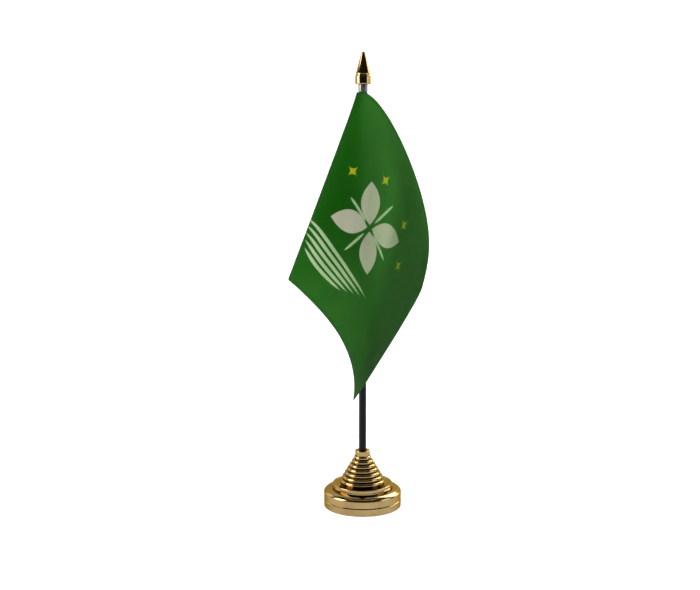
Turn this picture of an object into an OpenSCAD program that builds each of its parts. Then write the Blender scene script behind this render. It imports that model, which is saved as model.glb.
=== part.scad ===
// Desk flag stand: a small cloth flag on a slim pole that stands in a weighted, stepped base.
// Origin: centre of the underside, on the pole's axis. +Z is up, -Y is the front.

/* [Pole] */
// Outside diameter of the pole tube
pole_d = 4.4; // [3.6:0.1:5.4]
// Bore of the pole tube
pole_bore = 2.6; // [2:0.1:3.2]
// Length of the pole, from the socket's floor to its upper end
pole_len = 240; // [190:1:300]
// Radial running clearance of the pole in its socket and in the flag's sleeve
run_clear = 0.06; // [0.03:0.01:0.1]

/* [Base] */
// Diameter of the base at its rim
base_d = 46.6; // [40:0.2:60]
// Height of the straight rim above the desk
rim_h = 9; // [7.5:0.1:12]
// Height of the seam between the lower ring and the shell
seam_h = 5; // [3.6:0.1:5.4]
// Diameter of the middle step
tier_d = 35.6; // [30:0.2:38]
// Height of the middle step's top above the desk
tier_h = 14.6; // [13.8:0.1:17.6]
// Height of the base at the top of its collar
base_h = 34.6; // [31:0.2:42]
// Diameter of the collar round the pole
collar_d = 8.8; // [7.6:0.1:10.6]
// Height of the plain collar above the ribbed cone
collar_h = 3.2; // [1.8:0.1:4]
// Number of rounded ribs on the cone
rib_count = 7; // [4:1:9]
// Depth of the socket that takes the pole
socket_depth = 23; // [16:0.5:23]
// Wall of the moulded shell and ring
shell_wall = 1.5; // [1:0.1:2]

/* [Ballast and pad] */
// Diameter of the ballast disc
ballast_d = 37; // [30:0.5:38]
// Thickness of the ballast disc
ballast_t = 6.6; // [4:0.1:6.8]
// Diameter of the pad under the base
pad_d = 41; // [34:0.5:42]
// Thickness of the pad under the base
pad_t = 1; // [0.6:0.1:1.6]

/* [Finial] */
// Diameter of the finial's band
finial_d = 9.1; // [7.6:0.1:11]
// Height of the finial above the pole's end
finial_h = 18.4; // [15:0.2:22]
// Diameter of the flat at the finial's tip
tip_d = 2; // [1.6:0.1:2.4]
// Length of the finial's spigot in the pole's bore
spigot_len = 3.8; // [3:0.1:4.4]
// Radial clearance of the spigot in the pole's bore
spigot_clear = 0.05; // [0.02:0.01:0.1]
// Outside diameter of the ferrule below the finial
ferrule_d = 5.6; // [5:0.1:7]
// Length of the ferrule
ferrule_len = 4.2; // [3:0.1:7]

/* [Flag] */
// Length of the cloth from hoist to fly, as cut
flag_w = 152; // [120:1:190]
// Height of the cloth along the hoist, as cut
flag_h = 102; // [80:1:125]
// Thickness of the cloth panel
cloth_t = 0.5; // [0.3:0.05:0.8]
// Thickness of the sleeve's wall
sleeve_wall = 0.35; // [0.2:0.05:0.5]
// Depth of the seam fin that joins the sleeve to the panel
fin_depth = 2.4; // [1.5:0.1:3.5]
// Gap between the sleeve and the ferrule above it
sleeve_gap = 0.4; // [0.2:0.1:1]
// Length of one stitch along the seam
stitch_len = 2; // [1.4:0.1:2.6]
// Distance from one stitch to the next
stitch_pitch = 3; // [2.8:0.1:4]

/* [Hidden] */
$fn = 96;

base_r = base_d / 2;
pad_recess = 0.6;                              // how far the pad sits up into the ring
ring_z = pad_t - pad_recess;                   // underside of the ring
floor_top = pad_t + 1.2;                       // top of the ring's floor
seam_bevel = 0.35;                             // bevels that make the seam's groove
lip_fit = 0.1;                                 // gap round the ring's lip in the shell
lip_h = 2.4;                                   // how far the lip stands into the shell
socket_z = base_h - socket_depth;              // socket's floor
boss_z = floor_top + ballast_t;                // underside of the socket's boss, on the ballast
pole_top = socket_z + pole_len;
sleeve_r = pole_d / 2 + run_clear + sleeve_wall;
sleeve_top = pole_top - ferrule_len - sleeve_gap;
rib_zone = base_h - collar_h - tier_h;         // height of the ribbed cone
rib_pitch = rib_zone / rib_count;
cone_top_r = collar_d / 2 + 0.5;
cone_low_r = tier_d / 2 - 4.4;
flare = (cone_low_r - cone_top_r) / (rib_count - 1);

// One rib of the cone: a rounded ring, rib 0 at the top
function rib_z(i) = base_h - collar_h - (i + 0.5) * rib_pitch;
function rib_r(i) = cone_top_r + i * flare;
function rib_arc(i) = [for (a = [80:-20:-80])
    [rib_r(i) - 0.75 + 0.95 * cos(a), rib_z(i) + 0.46 * rib_pitch * sin(a)]];

// Outer face of the shell from the collar's top down to the seam
shoulder_in = tier_d / 2 + 0.35;
function shoulder() = [for (a = [90:-15:0])
    [shoulder_in + (base_r - shoulder_in) * cos(a), rim_h + (tier_h - 3 - rim_h) * sin(a)]];
function shell_outer() = concat(
    [[collar_d / 2 - 0.4, base_h], [collar_d / 2, base_h - 0.4], [collar_d / 2, base_h - collar_h]],
    [for (i = [0:rib_count - 1]) each rib_arc(i)],
    [[cone_low_r + 0.6, tier_h - 0.25], [tier_d / 2 - 0.9, tier_h - 0.25], [tier_d / 2 - 0.5, tier_h],
     [tier_d / 2, tier_h - 0.4], [tier_d / 2, tier_h - 1.7], [shoulder_in, tier_h - 2],
     [shoulder_in, tier_h - 3]],
    shoulder(),
    [[base_r, seam_h + seam_bevel], [base_r - seam_bevel, seam_h]]);

module base_shell() {
    inner_r = base_r - shell_wall;
    cavity_top = tier_h - 3 - shell_wall;
    color("goldenrod") difference() {
        rotate_extrude() polygon(concat([[0, seam_h]], [[0, base_h]], shell_outer()));
        // Room for the ring's lip, the ballast and the boss
        difference() {
            union() {
                translate([0, 0, seam_h - 1]) cylinder(r = inner_r, h = rim_h - 1 - seam_h + 1);
                translate([0, 0, rim_h - 1 - 0.01])
                    cylinder(r1 = inner_r, r2 = tier_d / 2 - 0.6, h = cavity_top - rim_h + 1.01);
            }
            translate([0, 0, boss_z]) cylinder(r = collar_d / 2 + 1, h = base_h);
        }
        translate([0, 0, seam_h - 1]) cylinder(r = collar_d / 2 + 1.5, h = boss_z - seam_h + 1);
        translate([0, 0, socket_z]) cylinder(d = pole_d + 2 * run_clear, h = socket_depth + 1);
    }
}

module base_ring() {
    lip_r = base_r - shell_wall - lip_fit;
    color("goldenrod") difference() {
        rotate_extrude() polygon([
            [0, ring_z], [base_r - 0.5, ring_z], [base_r, ring_z + 0.5], [base_r, seam_h - seam_bevel],
            [base_r - seam_bevel, seam_h], [lip_r, seam_h], [lip_r, seam_h + lip_h],
            [lip_r - 1, seam_h + lip_h], [lip_r - 1, floor_top], [0, floor_top]]);
        translate([0, 0, ring_z - 1]) cylinder(d = pad_d + 0.4, h = pad_recess + 1);
    }
}

module ballast_weight() {
    edge = 0.4;
    r = ballast_d / 2;
    color("dimgray") rotate_extrude() polygon([
        [0, floor_top], [r - edge, floor_top], [r, floor_top + edge], [r, boss_z - edge],
        [r - edge, boss_z], [0, boss_z]]);
}

module foot_pad() {
    color("black") cylinder(d = pad_d, h = pad_t);
}

module pole() {
    color("black") translate([0, 0, socket_z]) difference() {
        cylinder(d = pole_d, h = pole_len);
        translate([0, 0, -1]) cylinder(d = pole_bore, h = pole_len + 2);
    }
}

module ferrule() {
    color("slategray") translate([0, 0, pole_top - ferrule_len]) difference() {
        cylinder(d = ferrule_d, h = ferrule_len);
        translate([0, 0, -1]) cylinder(d = pole_d, h = ferrule_len + 2);
    }
}

module finial() {
    band_h = finial_h * 0.28;
    groove = 0.35;
    under = 0.8;                               // rounding of the band's lower edge
    r = finial_d / 2;
    spigot_r = pole_bore / 2 - spigot_clear;
    color("goldenrod") translate([0, 0, pole_top]) rotate_extrude() polygon(concat(
        [[0, -spigot_len], [spigot_r - 0.3, -spigot_len], [spigot_r, 0.3 - spigot_len], [spigot_r, 0],
         [r - under, 0]],
        [for (a = [-75:15:0]) [r - under + under * cos(a), under + under * sin(a)]],
        [[r, band_h - 0.5], [r - 0.2, band_h], [r - groove - 0.15, band_h + 0.25],
         [r - groove - 0.15, band_h + 0.75], [r - groove, band_h + 1.1], [r - groove - 0.1, band_h + 1.6],
         [tip_d / 2, finial_h], [0, finial_h]]));
}

module flag_sleeve() {
    color("darkgreen") translate([0, 0, sleeve_top - flag_h]) difference() {
        union() {
            cylinder(r = sleeve_r, h = flag_h);
            translate([-sleeve_wall, 0, 0]) cube([2 * sleeve_wall, sleeve_r + fin_depth, flag_h]);
        }
        translate([0, 0, -1]) cylinder(d = pole_d + 2 * run_clear, h = flag_h + 2);
    }
}

module sleeve_stitching() {
    thread_d = 0.3;
    count = floor((flag_h - stitch_len) / stitch_pitch);
    color("green") for (side = [-1, 1], i = [0:count - 1])
        translate([side * (sleeve_wall + thread_d / 2), sleeve_r + fin_depth / 2,
                   sleeve_top - flag_h + stitch_pitch * (i + 0.3)])
            cylinder(d = thread_d, h = stitch_len, $fn = 16);
}

// The hanging cloth. It leaves the seam fin at the back, bellies out to the left, turns forward
// at a crease that runs from the top edge down to the lowest left corner, passes in front of the
// pole and swings back on the right. Its edges are curves through a few control points, and the
// inside is blended between the edges. Points are from the top of the hoist, on the pole's axis.
wide = flag_w / 152;
tall = norm([flag_w, flag_h]) / norm([152, 102]);
hoist = [-sleeve_wall - cloth_t / 2 - 0.02, sleeve_r + fin_depth - 0.4];   // beside the seam fin
crease_top = [-2.6, -2.4, 0];
crease_low = [-43.5, -15, -106];
belly_top = [-5, 1, 0];
belly_low = [-36, 35, -108];
top_edge = [crease_top, [14, -19, 7], [47, 20, -78], [43, 29, -92], [36.5, 39, -121]];
fly_edge = [[36.5, 39, -121], [38, 50, -126], [-0.5, 1, -176], [-5.5, -29, -174]];
low_edge = [crease_low, [-23, -30, -121], [-1, -21, -145], [-5.5, -29, -174]];

function lerp(a, b, t) = a + (b - a) * t;
// Point on a Bezier curve of any degree
function curve(p, t) = len(p) == 1 ? p[0]
    : curve([for (i = [0:len(p) - 2]) lerp(p[i], p[i + 1], t)], t);
function corner(a, b, c, d, s, t) = lerp(lerp(a, b, t), lerp(c, d, t), s);
// Front panel: s runs down the crease, t runs across from the crease to the fly
function front(s, t) =
    lerp(curve(top_edge, t), curve(low_edge, t), s)
    + lerp(lerp(crease_top, crease_low, s), curve(fly_edge, s), t)
    - corner(crease_top, top_edge[4], crease_low, fly_edge[3], s, t);
// Back panel: t runs across from the hoist to the crease
function back(s, t) = curve([[hoist.x / wide, hoist.y / wide, -flag_h / tall * s],
    lerp(belly_top, belly_low, s), lerp(crease_top, crease_low, s)], t);
rows = 18;
back_cols = 8;
front_cols = 18;
cols = back_cols + front_cols;
function cloth_raw(i, j) = j <= back_cols ? back(i / rows, j / back_cols)
    : front(i / rows, (j - back_cols) / front_cols);
function cloth_mid(i, j) = let (p = cloth_raw(i, j)) [p.x * wide, p.y * wide, p.z * tall];
function cloth_normal(i, j) = let (
    down = cloth_mid(min(i + 1, rows), j) - cloth_mid(max(i - 1, 0), j),
    across = cloth_mid(i, min(j + 1, cols)) - cloth_mid(i, max(j - 1, 0)),
    n = cross(down, across)) n / norm(n);

module flag_cloth() {
    count = (rows + 1) * (cols + 1);
    function id(i, j, side) = side * count + i * (cols + 1) + j;
    points = [for (side = [1, -1], i = [0:rows], j = [0:cols])
        cloth_mid(i, j) + side * cloth_t / 2 * cloth_normal(i, j)];
    faces = concat(
        [for (i = [0:rows - 1], j = [0:cols - 1])
            each [[id(i, j, 0), id(i, j + 1, 0), id(i + 1, j, 0)],
                  [id(i, j + 1, 0), id(i + 1, j + 1, 0), id(i + 1, j, 0)],
                  [id(i, j, 1), id(i + 1, j, 1), id(i, j + 1, 1)],
                  [id(i, j + 1, 1), id(i + 1, j, 1), id(i + 1, j + 1, 1)]]],
        [for (j = [0:cols - 1])
            each [[id(0, j, 0), id(0, j, 1), id(0, j + 1, 0)],
                  [id(0, j + 1, 0), id(0, j, 1), id(0, j + 1, 1)],
                  [id(rows, j, 0), id(rows, j + 1, 0), id(rows, j, 1)],
                  [id(rows, j + 1, 0), id(rows, j + 1, 1), id(rows, j, 1)]]],
        [for (i = [0:rows - 1])
            each [[id(i, 0, 0), id(i + 1, 0, 0), id(i, 0, 1)],
                  [id(i + 1, 0, 0), id(i + 1, 0, 1), id(i, 0, 1)],
                  [id(i, cols, 0), id(i, cols, 1), id(i + 1, cols, 0)],
                  [id(i + 1, cols, 0), id(i, cols, 1), id(i + 1, cols, 1)]]]);
    color("forestgreen") translate([0, 0, sleeve_top]) polyhedron(points, faces, convexity = 8);
}

base_shell();
base_ring();
ballast_weight();
foot_pad();
pole();
ferrule();
finial();
flag_sleeve();
sleeve_stitching();
flag_cloth();
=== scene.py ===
"""Desk flag stand: a printed cloth flag on a slim black pole in a weighted, gilt plastic base."""
import math

import bmesh
import bpy
import numpy as np
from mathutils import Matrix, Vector


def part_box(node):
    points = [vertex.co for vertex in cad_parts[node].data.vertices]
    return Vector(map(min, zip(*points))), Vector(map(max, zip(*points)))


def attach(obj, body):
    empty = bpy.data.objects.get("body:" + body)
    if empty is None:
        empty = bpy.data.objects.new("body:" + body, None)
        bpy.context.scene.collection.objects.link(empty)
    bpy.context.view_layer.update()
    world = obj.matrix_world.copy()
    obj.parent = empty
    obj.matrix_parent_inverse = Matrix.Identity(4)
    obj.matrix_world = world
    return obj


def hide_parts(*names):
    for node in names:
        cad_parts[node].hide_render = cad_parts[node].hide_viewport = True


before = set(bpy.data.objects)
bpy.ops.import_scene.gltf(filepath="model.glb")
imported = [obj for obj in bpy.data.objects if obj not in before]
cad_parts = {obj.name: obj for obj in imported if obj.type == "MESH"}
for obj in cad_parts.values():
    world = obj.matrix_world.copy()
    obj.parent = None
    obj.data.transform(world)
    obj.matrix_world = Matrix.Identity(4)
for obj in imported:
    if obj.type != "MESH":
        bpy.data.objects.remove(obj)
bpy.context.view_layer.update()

# ---------------------------------------------------------------- camera, light and floor
# The stand is seen level with its finial, so the base is seen from about twenty degrees above.
camera_away = 0.801
camera_height = 0.275
camera_aside = -0.0075
camera_down = math.radians(10.33)
camera_data = bpy.data.cameras.new("camera")
camera_data.sensor_width = 36
camera_data.lens = 71.2
camera = bpy.data.objects.new("camera", camera_data)
camera.location = (camera_aside, -camera_away, camera_height)
camera.rotation_euler = (math.pi / 2 - camera_down, 0, 0)
bpy.context.scene.collection.objects.link(camera)
bpy.context.scene.camera = camera
bpy.context.scene.view_settings.view_transform = "Standard"


def linear(hex_colour):
    """An sRGB colour such as "#a0c4ff" as linear red, green, blue and alpha."""
    parts = [int(hex_colour[i:i + 2], 16) / 255 for i in (1, 3, 5)]
    return [p / 12.92 if p <= 0.04045 else ((p + 0.055) / 1.055) ** 2.4 for p in parts] + [1.0]


def add_node(tree, kind, links=None, **settings):
    """Adds a node. Settings are its properties, or its inputs as _NAME or _NUMBER; links are input: socket."""
    node = tree.nodes.new(kind)
    for key, value in settings.items():
        if not key.startswith("_"):
            setattr(node, key, value)
    for key, value in settings.items():
        if key.startswith("_"):
            name = key[1:]
            node.inputs[int(name) if name.isdigit() else name.replace("_", " ")].default_value = value
    for key, socket in (links or {}).items():
        tree.links.new(socket, node.inputs[key])
    return node


def new_material(name):
    """An empty material and its output node."""
    made = bpy.data.materials.new(name)
    made.use_nodes = True
    made.node_tree.nodes.clear()
    return made, made.node_tree, add_node(made.node_tree, "ShaderNodeOutputMaterial")


def softbox(name, place, aim, size, power, colour="#ffffff", lights=True, mirrors=True):
    """An area light of that size, at place, that faces aim. It may only light, or only be mirrored."""
    data = bpy.data.lights.new(name, "AREA")
    data.shape = "RECTANGLE"
    data.size, data.size_y = size
    data.energy = power
    data.color = linear(colour)[:3]
    lamp = bpy.data.objects.new(name, data)
    lamp.location = place
    lamp.rotation_euler = (Vector(aim) - Vector(place)).to_track_quat("-Z", "Y").to_euler()
    bpy.context.scene.collection.objects.link(lamp)
    lamp.visible_diffuse, lamp.visible_transmission, lamp.visible_glossy = lights, lights, mirrors


# The cards are only mirrored, the fill only lights, and the rear box does both: it shines through
# the cloth, so that a single layer shows lighter than a double one.
middle = (0, 0, 0.14)
softbox("left_card", (-0.80, -0.20, 0.42), middle, (0.5, 0.7), 11.5, "#fff6ea", lights=False)
softbox("left_rear_card", (-0.75, 0.45, 0.35), middle, (0.5, 0.6), 1.4, "#fff4e2", lights=False)
softbox("right_card", (0.80, -0.22, 0.35), middle, (0.45, 0.7), 2.6, "#f6f6ff", lights=False)
softbox("top_card", (0, 0.1, 1.5), middle, (1.2, 1.2), 2.4, "#fff4e6", lights=False)
softbox("rear_box", (0.50, 0.72, 0.78), middle, (0.5, 0.5), 8.0, "#fbfbff")
softbox("right_rear_card", (0.74, 0.50, 0.42), middle, (0.5, 0.7), 4.5, "#fbfbff", lights=False)
softbox("front_fill", (-0.38, -0.90, 0.75), middle, (0.6, 0.6), 14.4, "#fffdf8", mirrors=False)

world = bpy.data.worlds.new("studio")
world.use_nodes = True
room = world.node_tree.nodes["Background"]
room.inputs["Color"].default_value = linear("#8a7a64")
room.inputs["Strength"].default_value = 0.12
# Beyond the paper's edge the view meets a pale wall, while the room itself stays dim.
wall = add_node(world.node_tree, "ShaderNodeBackground", _Color=linear("#ffffff"), _Strength=1.0)
seen = add_node(world.node_tree, "ShaderNodeLightPath").outputs["Is Camera Ray"]
both = add_node(world.node_tree, "ShaderNodeMixShader", {0: seen, 1: room.outputs[0], 2: wall.outputs[0]})
world.node_tree.links.new(both.outputs[0], world.node_tree.nodes["World Output"].inputs["Surface"])
bpy.context.scene.world = world

# The floor is one pale sheet that curves up into the backdrop.
floor_half = 1.6
sweep_start, sweep_radius, wall_top = 0.55, 0.45, 1.6
sweep = [(-1.1, 0.0), (sweep_start, 0.0)]
sweep += [(sweep_start + sweep_radius * math.sin(a), sweep_radius * (1 - math.cos(a)))
          for a in np.linspace(0.1, math.pi / 2, 16)]
sweep += [(sweep_start + sweep_radius, wall_top)]
floor_mesh = bpy.data.meshes.new("floor")
floor_mesh.from_pydata([(x, y, z) for y, z in sweep for x in (-floor_half, floor_half)], [],
                       [(2 * i, 2 * i + 1, 2 * i + 3, 2 * i + 2) for i in range(len(sweep) - 1)])
floor_mesh.shade_smooth()
floor = bpy.data.objects.new("floor", floor_mesh)
bpy.context.scene.collection.objects.link(floor)
paper, tree, out = new_material("white_backdrop_paper")
shader = add_node(tree, "ShaderNodeBsdfPrincipled", _Base_Color=linear("#c9c8c6"), _Roughness=0.85,
                  _Emission_Color=linear("#ffffff"), _Emission_Strength=0.86)
tree.links.new(shader.outputs[0], out.inputs["Surface"])
floor_mesh.materials.append(paper)
# The paper glows for the view and for mirrors, and adds nothing to the diffuse light.
floor.visible_diffuse = False

# ---------------------------------------------------------------- base shell
# The shell is ABS, moulded in one piece: a stepped dish, a ribbed cone and a collar with the
# pole's socket. It is metallised gold under vacuum and lacquered, so it mirrors the studio.
shell_low, shell_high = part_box("base_shell")
ring_low, ring_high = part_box("base_ring")
pole_low, pole_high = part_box("pole")
mm = 0.001
base_r = shell_high.x
base_h = shell_high.z
seam_h = shell_low.z
socket_r = pole_high.x + 0.06 * mm
socket_floor = pole_low.z
rim_h = 9 * mm
tier_r = 17.8 * mm
tier_h = 14.6 * mm
collar_r = 4.4 * mm
collar_h = 3.2 * mm
rib_count = 7
shell_wall = 1.5 * mm
seam_bevel = 0.35 * mm
lathe_steps = 192


def arc(centre_r, centre_z, radius_r, radius_z, start, stop, count):
    """Points of an elliptical arc in the lathe plane, in degrees from the outward axis."""
    return [(centre_r + radius_r * math.cos(math.radians(a)), centre_z + radius_z * math.sin(math.radians(a)))
            for a in np.linspace(start, stop, count)]


def link_mesh(name, vertices, faces, material, sharp_deg=40):
    """A smooth mesh object in the scene, with edges sharper than the angle kept crisp."""
    mesh = bpy.data.meshes.new(name)
    mesh.from_pydata(vertices, [], faces)
    mesh.shade_smooth()
    mesh.set_sharp_from_angle(angle=math.radians(sharp_deg))
    mesh.materials.append(material)
    piece = bpy.data.objects.new(name, mesh)
    bpy.context.scene.collection.objects.link(piece)
    return piece


def lathe(name, outline, material, steps=lathe_steps, sharp_deg=40):
    """Turns a closed outline of (radius, height) points round the Z axis. Radius 0 becomes a pole."""
    mesh = bmesh.new()
    rings = []
    for radius, height in outline:
        if radius < 1e-7:
            rings.append([mesh.verts.new((0, 0, height))] * steps)
        else:
            rings.append([mesh.verts.new((radius * math.cos(2 * math.pi * i / steps),
                                          radius * math.sin(2 * math.pi * i / steps), height))
                          for i in range(steps)])
    for lower, upper in zip(rings, rings[1:] + rings[:1]):
        for i in range(steps):
            j = (i + 1) % steps
            corners = list(dict.fromkeys([lower[i], lower[j], upper[j], upper[i]]))
            if len(corners) > 2:
                mesh.faces.new(corners)
    bmesh.ops.recalc_face_normals(mesh, faces=mesh.faces)
    vertices = [v.co[:] for v in mesh.verts]
    mesh.verts.index_update()
    faces = [[v.index for v in f.verts] for f in mesh.faces]
    mesh.free()
    return link_mesh(name, vertices, faces, material, sharp_deg)


def gilt_plastic():
    """Vacuum-metallised ABS: a mirror gold with faint moulding waves and fine handling marks."""
    made, tree, out = new_material("gilt_metallised_abs")
    place = add_node(tree, "ShaderNodeTexCoord").outputs["Object"]
    # Sink waves of the moulding, about 6 mm long, tremble the reflections.
    waves = add_node(tree, "ShaderNodeTexNoise", {"Vector": place}, _Scale=160.0, _Detail=1.0)
    # Handling marks, under a millimetre, soften the mirror here and there.
    marks = add_node(tree, "ShaderNodeTexNoise", {"Vector": place}, _Scale=900.0, _Detail=4.0, _Roughness=0.7)
    soft = add_node(tree, "ShaderNodeMapRange", {"Value": marks.outputs["Fac"]},
                    _From_Min=0.35, _From_Max=0.75, _To_Min=0.07, _To_Max=0.16)
    tint = add_node(tree, "ShaderNodeValToRGB", {"Fac": waves.outputs["Fac"]})
    tint.color_ramp.elements[0].color = linear("#8a7448")
    tint.color_ramp.elements[1].color = linear("#9e8a62")
    bump = add_node(tree, "ShaderNodeBump", {"Height": waves.outputs["Fac"]}, _Strength=0.05, _Distance=0.0004)
    shader = add_node(tree, "ShaderNodeBsdfPrincipled",
                      {"Base Color": tint.outputs["Color"], "Roughness": soft.outputs["Result"],
                       "Normal": bump.outputs["Normal"]},
                      _Metallic=1.0, _Specular_Tint=linear("#b5a07a"), _Coat_Weight=0.12, _Coat_Roughness=0.05)
    tree.links.new(shader.outputs[0], out.inputs["Surface"])
    return made


gilt = gilt_plastic()
cone_top = base_h - collar_h
rib_pitch = (cone_top - tier_h) / rib_count
cone_top_r = collar_r + 0.5 * mm
cone_low_r = tier_r - 4.4 * mm
shoulder_r = tier_r + 0.35 * mm
inner_r = base_r - shell_wall
boss_r = collar_r + 1.0 * mm
boss_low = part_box("ballast_weight")[1].z
ribs = []
for i in range(rib_count):
    rib_r = cone_top_r + i * (cone_low_r - cone_top_r) / (rib_count - 1)
    ribs += arc(rib_r - 0.75 * mm, cone_top - (i + 0.5) * rib_pitch, 0.95 * mm, 0.46 * rib_pitch, 80, -80, 13)
outline = [(socket_r, socket_floor), (socket_r, base_h - 0.25 * mm), (socket_r + 0.25 * mm, base_h)]
outline += arc(collar_r - 0.45 * mm, base_h - 0.45 * mm, 0.45 * mm, 0.45 * mm, 90, 0, 7)
outline += [(collar_r, cone_top)] + ribs
outline += [(cone_low_r + 0.5 * mm, tier_h - 0.25 * mm), (tier_r - 0.95 * mm, tier_h - 0.25 * mm)]
outline += arc(tier_r - 0.4 * mm, tier_h - 0.4 * mm, 0.4 * mm, 0.4 * mm, 120, 0, 7)
outline += [(tier_r, tier_h - 1.7 * mm), (shoulder_r, tier_h - 2.0 * mm), (shoulder_r, tier_h - 2.95 * mm)]
outline += arc(shoulder_r, rim_h, base_r - shoulder_r, tier_h - 3 * mm - rim_h, 90, 0, 20)
outline += [(base_r, seam_h + seam_bevel), (base_r - seam_bevel, seam_h), (inner_r, seam_h),
            (inner_r, rim_h - 1.0 * mm), (tier_r - 0.6 * mm, tier_h - 3 * mm - shell_wall),
            (boss_r, tier_h - 3 * mm - shell_wall), (boss_r, boss_low), (0, boss_low), (0, socket_floor)]
base_shell = lathe("base_shell_gilt", outline, gilt)
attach(base_shell, "base")
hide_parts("base_shell")

# ---------------------------------------------------------------- base ring, ballast and pad
# A second gilt moulding closes the base from below: its lip plugs into the shell and leaves the
# fine groove round the rim. It carries a pressed iron disc inside and a felt pad underneath.
pad_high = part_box("foot_pad")[1]
ballast_low, ballast_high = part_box("ballast_weight")
lip_r = base_r - shell_wall - 0.1 * mm
lip_top = ring_high.z
recess_r = pad_high.x + 0.2 * mm
ring_outline = [(0, pad_high.z), (recess_r, pad_high.z), (recess_r, ring_low.z)]
ring_outline += arc(base_r - 0.5 * mm, ring_low.z + 0.5 * mm, 0.5 * mm, 0.5 * mm, -90, 0, 7)
ring_outline += [(base_r, seam_h - seam_bevel), (base_r - seam_bevel, seam_h), (lip_r, seam_h),
                 (lip_r, lip_top), (lip_r - 1.0 * mm, lip_top), (lip_r - 1.0 * mm, ballast_low.z),
                 (0, ballast_low.z)]
base_ring = lathe("base_ring_gilt", ring_outline, gilt)
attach(base_ring, "base")
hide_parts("base_ring")


def pressed_iron():
    """Pressed iron with a thin black oxide, seen only when the base is opened."""
    made, tree, out = new_material("black_oxide_iron")
    place = add_node(tree, "ShaderNodeTexCoord").outputs["Object"]
    grain = add_node(tree, "ShaderNodeTexNoise", {"Vector": place}, _Scale=1500.0, _Detail=5.0)
    tint = add_node(tree, "ShaderNodeValToRGB", {"Fac": grain.outputs["Fac"]})
    tint.color_ramp.elements[0].color = linear("#2b2a2a")
    tint.color_ramp.elements[1].color = linear("#4a4745")
    bump = add_node(tree, "ShaderNodeBump", {"Height": grain.outputs["Fac"]}, _Strength=0.3, _Distance=0.0001)
    shader = add_node(tree, "ShaderNodeBsdfPrincipled",
                      {"Base Color": tint.outputs["Color"], "Normal": bump.outputs["Normal"]},
                      _Metallic=0.9, _Roughness=0.55)
    tree.links.new(shader.outputs[0], out.inputs["Surface"])
    return made


def matted_felt():
    """Black wool felt, about 1 mm thick: short tangled fibres that catch light at the edge."""
    made, tree, out = new_material("black_felt")
    place = add_node(tree, "ShaderNodeTexCoord").outputs["Object"]
    fibre = add_node(tree, "ShaderNodeTexNoise", {"Vector": place}, _Scale=2200.0, _Detail=6.0, _Roughness=0.8)
    tint = add_node(tree, "ShaderNodeValToRGB", {"Fac": fibre.outputs["Fac"]})
    tint.color_ramp.elements[0].color = linear("#0d0d0e")
    tint.color_ramp.elements[1].color = linear("#2a2a2c")
    bump = add_node(tree, "ShaderNodeBump", {"Height": fibre.outputs["Fac"]}, _Strength=0.6, _Distance=0.0002)
    shader = add_node(tree, "ShaderNodeBsdfPrincipled",
                      {"Base Color": tint.outputs["Color"], "Normal": bump.outputs["Normal"]},
                      _Roughness=0.95, _Sheen_Weight=0.4)
    tree.links.new(shader.outputs[0], out.inputs["Surface"])
    return made


edge = 0.4 * mm
ballast_r = ballast_high.x
ballast = lathe("ballast_disc", [(0, ballast_low.z)]
                + arc(ballast_r - edge, ballast_low.z + edge, edge, edge, -90, 0, 5)
                + arc(ballast_r - edge, ballast_high.z - edge, edge, edge, 0, 90, 5)
                + [(0, ballast_high.z)], pressed_iron(), steps=96)
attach(ballast, "base")
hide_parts("ballast_weight")
pad_edge = 0.15 * mm
pad = lathe("felt_pad", [(0, 0)] + arc(pad_high.x - pad_edge, pad_edge, pad_edge, pad_edge, -90, 0, 5)
            + [(pad_high.x, pad_high.z), (0, pad_high.z)], matted_felt(), steps=96)
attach(pad, "base")
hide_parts("foot_pad")

# ---------------------------------------------------------------- pole and ferrule
# The pole is an extruded tube of black plastic, cut square and pushed into the base. A short
# smoke-grey ferrule is pressed on its upper end and keeps the flag's sleeve from riding off.
ferrule_low, ferrule_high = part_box("ferrule")
pole_r = pole_high.x
pole_bore_r = 1.3 * mm
ferrule_r = ferrule_high.x


def extruded_plastic():
    """Black polystyrene tube: satin, with faint draw lines along its length."""
    made, tree, out = new_material("black_extruded_plastic")
    place = add_node(tree, "ShaderNodeTexCoord").outputs["Object"]
    # Draw lines lie 0.3 mm apart round the tube and run for several centimetres along it.
    stretched = add_node(tree, "ShaderNodeMapping", {"Vector": place}, _Scale=(3300.0, 3300.0, 40.0))
    lines = add_node(tree, "ShaderNodeTexNoise", {"Vector": stretched.outputs[0]}, _Scale=1.0, _Detail=3.0)
    tint = add_node(tree, "ShaderNodeValToRGB", {"Fac": lines.outputs["Fac"]})
    tint.color_ramp.elements[0].color = linear("#070708")
    tint.color_ramp.elements[1].color = linear("#0f1011")
    bump = add_node(tree, "ShaderNodeBump", {"Height": lines.outputs["Fac"]}, _Strength=0.25, _Distance=0.00005)
    rough = add_node(tree, "ShaderNodeMapRange", {"Value": lines.outputs["Fac"]}, _To_Min=0.38, _To_Max=0.5)
    shader = add_node(tree, "ShaderNodeBsdfPrincipled",
                      {"Base Color": tint.outputs["Color"], "Normal": bump.outputs["Normal"],
                       "Roughness": rough.outputs["Result"]}, _IOR=1.5, _Specular_IOR_Level=0.14)
    tree.links.new(shader.outputs[0], out.inputs["Surface"])
    return made


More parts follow.
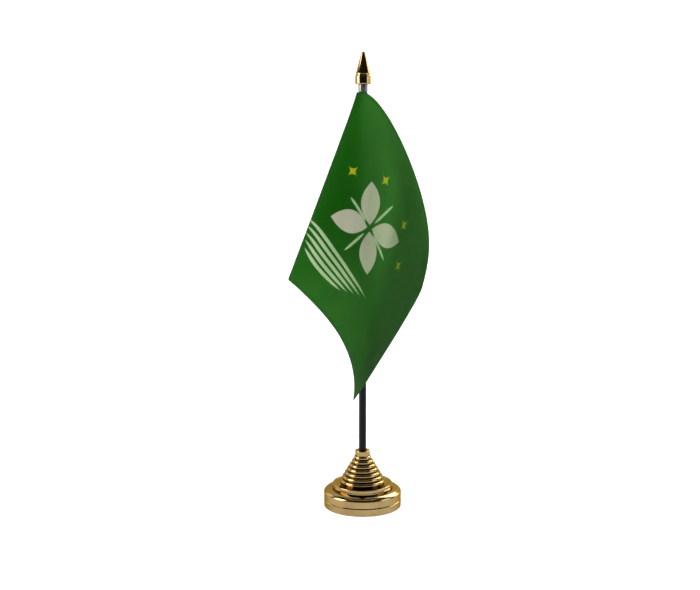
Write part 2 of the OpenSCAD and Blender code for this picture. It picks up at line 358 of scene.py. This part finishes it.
def smoke_plastic():
    """Smoke-grey polystyrene of the ferrule: glossy, with fine rings left by turning."""
    made, tree, out = new_material("glossy_smoke_grey_plastic")
    place = add_node(tree, "ShaderNodeTexCoord").outputs["Object"]
    # Turning rings run round the ferrule, about 0.2 mm apart.
    ringed = add_node(tree, "ShaderNodeMapping", {"Vector": place}, _Scale=(60.0, 60.0, 5000.0))
    rings = add_node(tree, "ShaderNodeTexNoise", {"Vector": ringed.outputs[0]}, _Scale=1.0, _Detail=3.0)
    rough = add_node(tree, "ShaderNodeMapRange", {"Value": rings.outputs["Fac"]}, _To_Min=0.16, _To_Max=0.3)
    bump = add_node(tree, "ShaderNodeBump", {"Height": rings.outputs["Fac"]}, _Strength=0.15, _Distance=0.00005)
    shader = add_node(tree, "ShaderNodeBsdfPrincipled",
                      {"Roughness": rough.outputs["Result"], "Normal": bump.outputs["Normal"]},
                      _Base_Color=linear("#3a4744"), _Specular_IOR_Level=0.9, _Coat_Weight=0.6,
                      _Coat_Roughness=0.08)
    tree.links.new(shader.outputs[0], out.inputs["Surface"])
    return made


chamfer = 0.2 * mm
pole = lathe("pole_tube", [(pole_bore_r, pole_low.z), (pole_r - chamfer, pole_low.z),
                           (pole_r, pole_low.z + chamfer), (pole_r, pole_high.z - chamfer),
                           (pole_r - chamfer, pole_high.z), (pole_bore_r, pole_high.z)],
             extruded_plastic(), steps=64)
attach(pole, "staff")
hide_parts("pole")
ferrule = lathe("ferrule_sleeve", [(pole_r, ferrule_low.z), (ferrule_r - chamfer, ferrule_low.z)]
                + arc(ferrule_r - chamfer, ferrule_low.z + chamfer, chamfer, chamfer, -60, 0, 4)
                + arc(ferrule_r - chamfer, ferrule_high.z - chamfer, chamfer, chamfer, 0, 60, 4)
                + [(ferrule_r - chamfer, ferrule_high.z), (pole_r, ferrule_high.z)], smoke_plastic(), steps=96)
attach(ferrule, "staff")
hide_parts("ferrule")

# ---------------------------------------------------------------- finial
# The spear tip is one gilt moulding: a cone on a round band with a fine groove between them, and
# a spigot that pushes into the pole's bore.
finial_low, finial_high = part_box("finial")
finial_r = finial_high.x
finial_base = pole_high.z
finial_h = finial_high.z - finial_base
band_h = 0.28 * finial_h
tip_r = 1.0 * mm
spigot_r = pole_bore_r - 0.05 * mm
groove_r = finial_r - 0.5 * mm
under = 0.8 * mm
finial_outline = [(0, finial_low.z), (spigot_r - 0.3 * mm, finial_low.z), (spigot_r, finial_low.z + 0.3 * mm),
                  (spigot_r, finial_base)]
finial_outline += arc(finial_r - under, finial_base + under, under, under, -90, 0, 12)
finial_outline += arc(finial_r - 0.4 * mm, finial_base + band_h - 0.4 * mm, 0.4 * mm, 0.4 * mm, 0, 75, 6)
finial_outline += [(groove_r, finial_base + band_h + 0.2 * mm), (groove_r, finial_base + band_h + 0.6 * mm)]
finial_outline += arc(groove_r - 0.15 * mm, finial_base + band_h + 1.1 * mm, 0.3 * mm, 0.35 * mm, -60, 50, 7)
finial_outline += arc(tip_r - 0.3 * mm, finial_high.z - 0.3 * mm, 0.3 * mm, 0.3 * mm, 15, 90, 5)
finial_outline += [(0, finial_high.z)]
finial = lathe("finial_spear", finial_outline, gilt)
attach(finial, "top")
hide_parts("finial")

# ---------------------------------------------------------------- flag cloth
# A 152 by 102 mm panel of woven polyester, printed right through. It hangs from its upper hoist
# corner: a back layer turns forward at a long crease, and the front swings past the pole.
sleeve_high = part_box("flag_sleeve")[1]
flag_w, flag_h = 152, 102
cloth_top = sleeve_high.z
cloth_t = 0.2
# The panel starts beside the seam fin, which is two 0.35 mm walls thick.
fin_wall, hoist_inset = 0.35, 0.4
hoist = (-fin_wall - cloth_t / 2, sleeve_high.y / mm - hoist_inset)
crease_top, crease_low = (-2.6, -2.4, 0), (-43.5, -15, -106)
belly_top, belly_low = (-5, 1, 0), (-36, 35, -108)
top_edge = [crease_top, (14, -19, 7), (47, 20, -78), (43, 29, -92), (36.5, 39, -121)]
fly_edge = [(36.5, 39, -121), (38, 50, -126), (-0.5, 1, -176), (-5.5, -29, -174)]
low_edge = [crease_low, (-23, -30, -121), (-1, -21, -145), (-5.5, -29, -174)]
crease_u_top, crease_u_low = 8.8, 66
cloth_rows, back_cols, front_cols = 136, 44, 150
# A soft fold runs down the front panel: its places down the flag, how far it stands, and its width.
fold_path = [(0, 14), (-50, 23), (-95, 16), (-130, 7), (-175, -1)]
fold_rise, fold_width = 2.6, 8.0
# Slow ripples: height in mm, waves across, waves down, and phase.
ripples = [(0.30, 3.1, -1.7, 0.6), (0.16, 6.3, 2.9, 2.1), (0.03, 11.7, -5.3, 4.0)]
roll_width, roll_passes, roll_share = 3.5, 8, 0.6
curve_steps = 400


def bezier(points, t):
    """Points of a Bezier curve at the shares t, an array."""
    layer = [np.outer(np.ones_like(t), np.array(p, float)) for p in points]
    while len(layer) > 1:
        layer = [a + (b - a) * t[:, None] for a, b in zip(layer, layer[1:])]
    return layer[0]


def even(points, count):
    """The curve at count + 1 places that lie evenly along its length."""
    path = bezier(points, np.linspace(0, 1, curve_steps))
    run = np.concatenate([[0], np.cumsum(np.linalg.norm(np.diff(path, axis=0), axis=1))])
    return np.stack([np.interp(np.linspace(0, run[-1], count + 1), run, path[:, k]) for k in range(3)], 1)


def hanging_cloth():
    """Grid of points of the hanging panel, from hoist to fly and from top to bottom, in millimetres."""
    s = np.linspace(0, 1, cloth_rows + 1)[:, None, None]
    t = np.linspace(0, 1, front_cols + 1)[None, :, None]
    top, low = even(top_edge, front_cols)[None], even(low_edge, front_cols)[None]
    crease = even([crease_top, crease_low], cloth_rows)[:, None]
    fly = even(fly_edge, cloth_rows)[:, None]
    corners = ((top[:, :1] * (1 - t) + top[:, -1:] * t) * (1 - s)
               + (low[:, :1] * (1 - t) + low[:, -1:] * t) * s)
    front = top * (1 - s) + low * s + crease * (1 - t) + fly * t - corners
    heights, places = np.array(fold_path)[::-1].T
    away = (front[..., 0] - np.interp(front[..., 2], heights, places)) / fold_width
    # The fold fades towards the crease, the fly and the top edge.
    edge_hold = (np.clip(t[..., 0] * 8, 0, 1) * np.clip((1 - t[..., 0]) * 6, 0.25, 1)
                 * np.clip(s[..., 0] * 7, 0.15, 1))
    front[..., 1] -= fold_rise * np.exp(-away ** 2) * edge_hold
    rows = []
    for share, crease_point in zip(s[:, 0, 0], crease[:, 0]):
        belly = np.array(belly_top) * (1 - share) + np.array(belly_low) * share
        rows.append(even([(*hoist, -flag_h * share), belly, crease_point], back_cols)[:-1])
    grid = np.concatenate([np.array(rows), front], axis=1)
    # Ripples that the weight of a limp, finely woven cloth leaves between its folds.
    share_across = np.linspace(0, 1, grid.shape[1])[None, :]
    share_down = s[:, :, 0]
    ripple = sum(height * np.sin(2 * math.pi * (across * share_across + down * share_down) + phase)
                 for height, across, down, phase in ripples)
    grid[..., 1] += ripple * np.clip(share_across * 6, 0, 1) * np.clip(share_down * 6 + 0.1, 0, 1)
    # The crease is rolled, not pressed: each row is smoothed where it turns.
    turn = np.exp(-((np.arange(grid.shape[1]) - back_cols) / roll_width) ** 2)[None, :, None]
    for _ in range(roll_passes):
        mean = (np.roll(grid, 1, axis=1) + np.roll(grid, -1, axis=1)) / 2
        mean[:, 0], mean[:, -1] = grid[:, 0], grid[:, -1]
        grid += roll_share * turn * (mean - grid)
    return grid


def flat_places():
    """Where each grid point lies on the flat panel: u from the hoist and v down, in millimetres."""
    s = np.linspace(0, 1, cloth_rows + 1)[:, None]
    crease_u = crease_u_top + (crease_u_low - crease_u_top) * s
    u = np.concatenate([crease_u * np.linspace(0, 1, back_cols + 1)[None, :-1],
                        crease_u + (flag_w - crease_u) * np.linspace(0, 1, front_cols + 1)[None]], axis=1)
    return u, np.broadcast_to(s * flag_h, u.shape)


def printed_polyester():
    """Woven polyester with a dyed-through print: satin threads 0.3 mm apart, slightly see-through."""
    made, tree, out = new_material("printed_woven_polyester")
    flat = add_node(tree, "ShaderNodeAttribute", attribute_name="flat_mm").outputs["Vector"]
    split = add_node(tree, "ShaderNodeSeparateXYZ", {"Vector": flat})
    u, v = split.outputs["X"], split.outputs["Y"]

    def math_node(operation, first, second=None, third=None):
        """One arithmetic node on sockets or numbers."""
        node = tree.nodes.new("ShaderNodeMath")
        node.operation = operation
        for slot, value in enumerate((first, second, third)):
            if isinstance(value, (int, float)):
                node.inputs[slot].default_value = value
            elif value is not None:
                tree.links.new(value, node.inputs[slot])
        return node.outputs[0]

    def turned(centre, degrees):
        """Coordinates along and across a line through the centre at that angle, in millimetres."""
        c, s = math.cos(math.radians(degrees)), math.sin(math.radians(degrees))
        x, y = math_node("SUBTRACT", u, centre[0]), math_node("SUBTRACT", v, centre[1])
        along = math_node("ADD", math_node("MULTIPLY", x, c), math_node("MULTIPLY", y, s))
        across = math_node("SUBTRACT", math_node("MULTIPLY", y, c), math_node("MULTIPLY", x, s))
        return along, across

    def inked(distance):
        """1 inside a shape and 0 outside, from a distance in mm, with the print's soft 0.15 mm edge."""
        return add_node(tree, "ShaderNodeMapRange", {"Value": distance}, _From_Min=-0.15, _From_Max=0.15,
                        _To_Min=1.0, _To_Max=0.0).outputs["Result"]

    def leaf(centre, degrees, start, length, half_width):
        """A pointed petal along the turned axis, whose width swells and closes as a parabola."""
        along, across = turned(centre, degrees)
        share = math_node("DIVIDE", math_node("SUBTRACT", along, start), length)
        swell = math_node("MULTIPLY", math_node("MULTIPLY", share, 4 * half_width),
                          math_node("SUBTRACT", 1, share))
        return inked(math_node("SUBTRACT", math_node("ABSOLUTE", across), swell))

    def stroke(centre, degrees, bow, half_length, half_width):
        """A bowed line that thins towards both ends."""
        along, across = turned(centre, degrees)
        share = math_node("DIVIDE", along, half_length)
        square = math_node("MULTIPLY", share, share)
        middle_line = math_node("MULTIPLY", math_node("SUBTRACT", 1, square), bow)
        width = math_node("MULTIPLY", math_node("SUBTRACT", 1, math_node("MULTIPLY", square, square)), half_width)
        return inked(math_node("SUBTRACT", math_node("ABSOLUTE", math_node("SUBTRACT", across, middle_line)), width))

    def spark(centre, size):
        """A four-pointed spark with hollow sides."""
        along, across = turned(centre, 0)
        root = math_node("ADD", math_node("SQRT", math_node("ABSOLUTE", along)),
                         math_node("SQRT", math_node("ABSOLUTE", across)))
        return inked(math_node("SUBTRACT", math_node("MULTIPLY", root, root), size))

    def any_of(masks):
        """The strongest of several masks."""
        whole = masks[0]
        for mask in masks[1:]:
            whole = math_node("MAXIMUM", whole, mask)
        return whole

    # Places and lengths on the flat panel, in millimetres from its upper hoist corner.
    heart_u, heart_v, stamen_reach = 75, 45, 13
    bar_top, bar_pitch, bar_half, bar_step = 69, 3.5, 30, 3.4
    petals = any_of([leaf((heart_u, heart_v), angle, 1.8, 24, 6.6) for angle in (-142, -38, 38, 142)])
    stamens = [stroke((heart_u + stamen_reach * math.cos(math.radians(a)),
                       heart_v + stamen_reach * math.sin(math.radians(a))), a, 0, 8.5, 0.8)
               for a in (-90, 0, 90, 180)]
    bars = [stroke((heart_u, bar_top + bar_pitch * i), 0, 2.6, bar_half - bar_step * i, 1.0) for i in range(5)]
    lines = any_of(stamens + bars)
    sparks = any_of([spark(place, 4.4) for place in ((43, 35), (60, 21), (90, 21), (107, 35))])
    # The ground's dye takes a little unevenly, in clouds about 2 cm across.
    clouds = add_node(tree, "ShaderNodeTexNoise", {"Vector": flat}, _Scale=0.05, _Detail=2.0)
    ground = add_node(tree, "ShaderNodeValToRGB", {"Fac": clouds.outputs["Fac"]})
    ground.color_ramp.elements[0].color = linear("#1c6411")
    ground.color_ramp.elements[1].color = linear("#216e17")

    def over(mask, colour, under_colour):
        """Prints a colour over another where the mask is 1."""
        mix = tree.nodes.new("ShaderNodeMix")
        mix.data_type = "RGBA"
        tree.links.new(mask, mix.inputs[0])
        tree.links.new(under_colour, mix.inputs[6])
        mix.inputs[7].default_value = linear(colour)
        return mix.outputs[2]

    printed = over(lines, "#dcf2cc", ground.outputs["Color"])
    printed = over(petals, "#efe8dc", printed)
    printed = over(sparks, "#e2dc20", printed)
    # The cloth is doubled and stitched for 2 mm along its free edges; painted shade darkens the colour there to
    # 0.78, where the doubled cloth lets less light through.
    to_edge = math_node("MINIMUM", math_node("MINIMUM", v, math_node("SUBTRACT", flag_h, v)),
                        math_node("SUBTRACT", flag_w, u))
    hem = inked(math_node("SUBTRACT", to_edge, 1.6))
    # Painted shade: the hem band's colour is scaled down to 0.78.
    hem_painted_shade = add_node(tree, "ShaderNodeMapRange", {"Value": hem}, _To_Min=1.0, _To_Max=0.78).outputs["Result"]
    colour = add_node(tree, "ShaderNodeVectorMath", {0: printed, "Scale": hem_painted_shade}, operation="SCALE").outputs[0]
    # Plain weave, drawn at 0.5 mm, since the real 0.3 mm would be lost at this size.
    weave_pitch = 0.5
    pitch = 2 * math.pi / weave_pitch
    weft = math_node("SINE", math_node("MULTIPLY", v, pitch))
    warp = math_node("SINE", math_node("MULTIPLY", u, pitch))
    weave = math_node("MULTIPLY", weft, warp)
    bump = add_node(tree, "ShaderNodeBump", {"Height": weave}, _Strength=0.25, _Distance=0.00006)
    shader = add_node(tree, "ShaderNodeBsdfPrincipled", {"Base Color": colour, "Normal": bump.outputs["Normal"]},
                      _Roughness=0.6, _Specular_IOR_Level=0.02)
    # Light from behind passes paler than the print, since it also comes between the threads.
    thin = tree.nodes.new("ShaderNodeMix")
    thin.data_type = "RGBA"
    thin.inputs[0].default_value = 0.8
    tree.links.new(colour, thin.inputs[6])
    thin.inputs[7].default_value = linear("#9ecb92")
    glow = add_node(tree, "ShaderNodeBsdfTranslucent", {"Color": thin.outputs[2], "Normal": bump.outputs["Normal"]})
    mixed = add_node(tree, "ShaderNodeMixShader", {1: shader.outputs[0], 2: glow.outputs[0]}, _0=0.5)
    tree.links.new(mixed.outputs[0], out.inputs["Surface"])
    return made


def cloth_sheet(name, grid, flat_u, flat_v, thickness, material):
    """A sheet object from a grid of points, with its flat place kept as an attribute for the print."""
    rows, cols = grid.shape[0] - 1, grid.shape[1] - 1
    quads = [(i * (cols + 1) + j, (i + 1) * (cols + 1) + j, (i + 1) * (cols + 1) + j + 1, i * (cols + 1) + j + 1)
             for i in range(rows) for j in range(cols)]
    points = grid * mm + np.array([0, 0, cloth_top])
    sheet = link_mesh(name, points.reshape(-1, 3).tolist(), quads, material, 180)
    flat = sheet.data.attributes.new("flat_mm", "FLOAT_VECTOR", "POINT")
    places = np.stack([flat_u, flat_v, np.zeros_like(flat_u)], -1).reshape(-1, 3)
    flat.data.foreach_set("vector", places.astype(np.float32).ravel())
    thick = sheet.modifiers.new("thickness", "SOLIDIFY")
    thick.thickness = thickness * mm
    thick.offset = 0
    return sheet


polyester = printed_polyester()
grid = hanging_cloth()
flat_u, flat_v = flat_places()
cloth = cloth_sheet("flag_panel", grid, flat_u, flat_v, cloth_t, polyester)
# The free edges are turned over twice, so the hem stands thicker than the panel inside it.
hem_w, hem_factor = 2.0, 0.5
to_edge = np.minimum(np.minimum(flat_v, flag_h - flat_v), flag_w - flat_u).ravel()
cloth.modifiers["thickness"].thickness = cloth_t / hem_factor * mm
cloth.modifiers["thickness"].vertex_group = "hem"
cloth.modifiers["thickness"].thickness_vertex_group = hem_factor
hem_group = cloth.vertex_groups.new(name="hem")
hem_group.add([int(i) for i in np.where(to_edge <= hem_w)[0]], 1.0, "REPLACE")
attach(cloth, "flag")
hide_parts("flag_cloth")

# ---------------------------------------------------------------- hem stitching
# One row of lockstitch, 2 mm a stitch, holds the turned hems along the top, the fly and the
# bottom. The same machine stitch closes the sleeve's seam. Each stitch is a short oval of thread.
thread_d = 0.3
thread_sunk = 0.1
hem_stitch, hem_pitch, hem_inset = 1.5, 2.1, 1.4


def sewing_thread():
    """Green polyester thread of two twisted strands, with painted sheen: its colour lightens and darkens with the
    twist along a stitch.
    """
    made, tree, out = new_material("green_sewing_thread")
    place = add_node(tree, "ShaderNodeTexCoord").outputs["Object"]
    # Twist repeats about every 0.7 mm.
    twist_and_painted_sheen = add_node(tree, "ShaderNodeTexWave", {"Vector": place}, _Scale=450.0, _Distortion=1.0)
    # Painted sheen and shade: the colour runs from dark green in the grooves to lighter green on the raised crests
    # of the twist.
    tint = add_node(tree, "ShaderNodeValToRGB", {"Fac": twist_and_painted_sheen.outputs["Fac"]})
    tint.color_ramp.elements[0].color = linear("#133c0f")
    tint.color_ramp.elements[1].color = linear("#2a6322")
    bump = add_node(tree, "ShaderNodeBump", {"Height": twist_and_painted_sheen.outputs["Fac"]}, _Strength=0.4, _Distance=0.00005)
    shader = add_node(tree, "ShaderNodeBsdfPrincipled",
                      {"Base Color": tint.outputs["Color"], "Normal": bump.outputs["Normal"]}, _Roughness=0.55)
    tree.links.new(shader.outputs[0], out.inputs["Surface"])
    return made


def stitch_tree():
    """Geometry Nodes that lay one oval stitch at every pitch along each path of edges."""
    tree = bpy.data.node_groups.new("running_stitch", "GeometryNodeTree")
    tree.interface.new_socket("Geometry", in_out="INPUT", socket_type="NodeSocketGeometry")
    for name in ("Stitch Pitch", "Stitch Length", "Thread Width"):
        tree.interface.new_socket(name, in_out="INPUT", socket_type="NodeSocketFloat")
    tree.interface.new_socket("Thread", in_out="INPUT", socket_type="NodeSocketMaterial")
    tree.interface.new_socket("Geometry", in_out="OUTPUT", socket_type="NodeSocketGeometry")
    given = add_node(tree, "NodeGroupInput").outputs
    path = add_node(tree, "GeometryNodeMeshToCurve", {0: given["Geometry"]})
    spots = add_node(tree, "GeometryNodeResampleCurve", {"Curve": path.outputs[0], "Length": given["Stitch Pitch"]},
                     mode="LENGTH")
    ball = add_node(tree, "GeometryNodeMeshUVSphere", _Segments=8, _Rings=6, _Radius=0.5)
    size = add_node(tree, "ShaderNodeCombineXYZ", {0: given["Thread Width"], 1: given["Thread Width"],
                                                   2: given["Stitch Length"]})
    oval = add_node(tree, "GeometryNodeTransform", {"Geometry": ball.outputs[0], "Scale": size.outputs[0]})
    along = add_node(tree, "GeometryNodeInputTangent")
    turn = add_node(tree, "FunctionNodeAlignEulerToVector", {"Vector": along.outputs[0]}, axis="Z")
    laid = add_node(tree, "GeometryNodeInstanceOnPoints", {"Points": spots.outputs[0], "Instance": oval.outputs[0],
                                                           "Rotation": turn.outputs[0]})
    solid = add_node(tree, "GeometryNodeRealizeInstances", {0: laid.outputs[0]})
    coloured = add_node(tree, "GeometryNodeSetMaterial", {"Geometry": solid.outputs[0], "Material": given["Thread"]})
    add_node(tree, "NodeGroupOutput", {0: coloured.outputs[0]})
    return tree


running_stitch = stitch_tree()
thread = sewing_thread()


def sew(name, paths, pitch, length):
    """A row of stitches along each path of points in metres, as one plain mesh."""
    mesh = bpy.data.meshes.new(name)
    points = [tuple(p) for path in paths for p in path]
    starts = np.cumsum([0] + [len(path) for path in paths])
    edges = [(int(a) + k, int(a) + k + 1) for a, path in zip(starts, paths) for k in range(len(path) - 1)]
    mesh.from_pydata(points, edges, [])
    row = bpy.data.objects.new(name, mesh)
    bpy.context.scene.collection.objects.link(row)
    laying = row.modifiers.new("stitches", "NODES")
    laying.node_group = running_stitch
    values = {"Stitch Pitch": pitch * mm, "Stitch Length": length * mm, "Thread Width": thread_d * mm,
              "Thread": thread}
    for item in running_stitch.interface.items_tree:
        if item.in_out == "INPUT" and item.name in values:
            laying[item.identifier] = values[item.name]
    bpy.context.view_layer.update()
    baked = bpy.data.meshes.new_from_object(row.evaluated_get(bpy.context.evaluated_depsgraph_get()))
    row.modifiers.clear()
    row.data = baked
    row.data.shade_smooth()
    return row


def hem_paths():
    """The hems' stitch lines on both faces of the panel, in metres."""
    down = np.gradient(grid, axis=0)
    across = np.gradient(grid, axis=1)
    normal = np.cross(down, across)
    normal /= np.linalg.norm(normal, axis=2, keepdims=True)
    step_v = flag_h / cloth_rows
    top_row = hem_inset / step_v
    fly_col = np.array([np.interp(flag_w - hem_inset, row, np.arange(row.size)) for row in flat_u])
    last = grid.shape[1] - 1
    top_cols = np.arange(3, fly_col[2])
    low_cols = np.arange(3, fly_col[-3])
    side_rows = np.arange(top_row, cloth_rows - top_row)

    def picked(field, i, j):
        """The field at fractional rows and columns."""
        i, j = np.broadcast_arrays(np.asarray(i, float), np.asarray(j, float))
        a, b = i.astype(int), np.minimum(j.astype(int), last - 1)
        a = np.minimum(a, cloth_rows - 1)
        p, q = (i - a)[:, None], (j - b)[:, None]
        return ((field[a, b] * (1 - q) + field[a, b + 1] * q) * (1 - p)
                + (field[a + 1, b] * (1 - q) + field[a + 1, b + 1] * q) * p)

    side_cols = np.interp(side_rows, np.arange(cloth_rows + 1), fly_col)
    lines = [(top_row, top_cols), (cloth_rows - top_row, low_cols), (side_rows, side_cols)]
    rise = cloth_t / 2 / hem_factor + thread_d / 2 - thread_sunk
    return [(picked(grid, i, j) + side * rise * picked(normal, i, j)) * mm + np.array([0, 0, cloth_top])
            for i, j in lines for side in (-1, 1)]


hem_stitches = sew("hem_stitches", hem_paths(), hem_pitch, hem_stitch)
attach(hem_stitches, "flag")

# ---------------------------------------------------------------- sleeve and its seam
# The hoist edge is a tube of the same cloth that the pole slides into. Its two ends meet at the
# back in a narrow fin, sewn through, from which the panel starts.
sleeve_wall = 0.33
run_clear = 0.06
fin_mid = fin_wall / 2
sleeve_mid_r = pole_r / mm + run_clear + fin_mid
fin_y = sleeve_high.y / mm
seam_gap_deg = math.degrees(fin_mid / sleeve_mid_r)
seam_pitch, seam_stitch, seam_inset, seam_sunk = 3.0, 2.2, 1.5, 0.05
turn_points = [(sleeve_mid_r * math.cos(math.radians(a)), sleeve_mid_r * math.sin(math.radians(a)))
               for a in np.linspace(90 + seam_gap_deg, 450 - seam_gap_deg, 57)]
fin_run = np.linspace(fin_y - 0.02, sleeve_mid_r + 0.3, 8)
strip = [(-fin_mid, y) for y in fin_run] + turn_points + [(fin_mid, y) for y in fin_run[::-1]]
sleeve_steps = 60
sleeve_grid = np.array([[(x, y, -flag_h * k / sleeve_steps) for x, y in strip] for k in range(sleeve_steps + 1)])
strip_u = -np.concatenate([[0], np.cumsum([math.dist(a, b) for a, b in zip(strip, strip[1:])])]) - 3
sleeve_u = np.broadcast_to(strip_u, sleeve_grid.shape[:2])
sleeve_v = np.broadcast_to(np.linspace(0, flag_h, sleeve_steps + 1)[:, None], sleeve_grid.shape[:2])
sleeve = cloth_sheet("hoist_sleeve", sleeve_grid, sleeve_u, sleeve_v, sleeve_wall, polyester)
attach(sleeve, "flag")
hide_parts("flag_sleeve")
seam_low, seam_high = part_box("sleeve_stitching")
seam_x = fin_wall + thread_d / 2 - seam_sunk
seam_mid_y = (seam_low.y + seam_high.y) / 2 / mm
seam_paths = [[(side * seam_x * mm, seam_mid_y * mm, cloth_top - z * mm) for z in (seam_inset, flag_h - seam_inset)]
              for side in (-1, 1)]
seam_stitches = sew("sleeve_seam_stitches", seam_paths, seam_pitch, seam_stitch)
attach(seam_stitches, "flag")
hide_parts("sleeve_stitching")
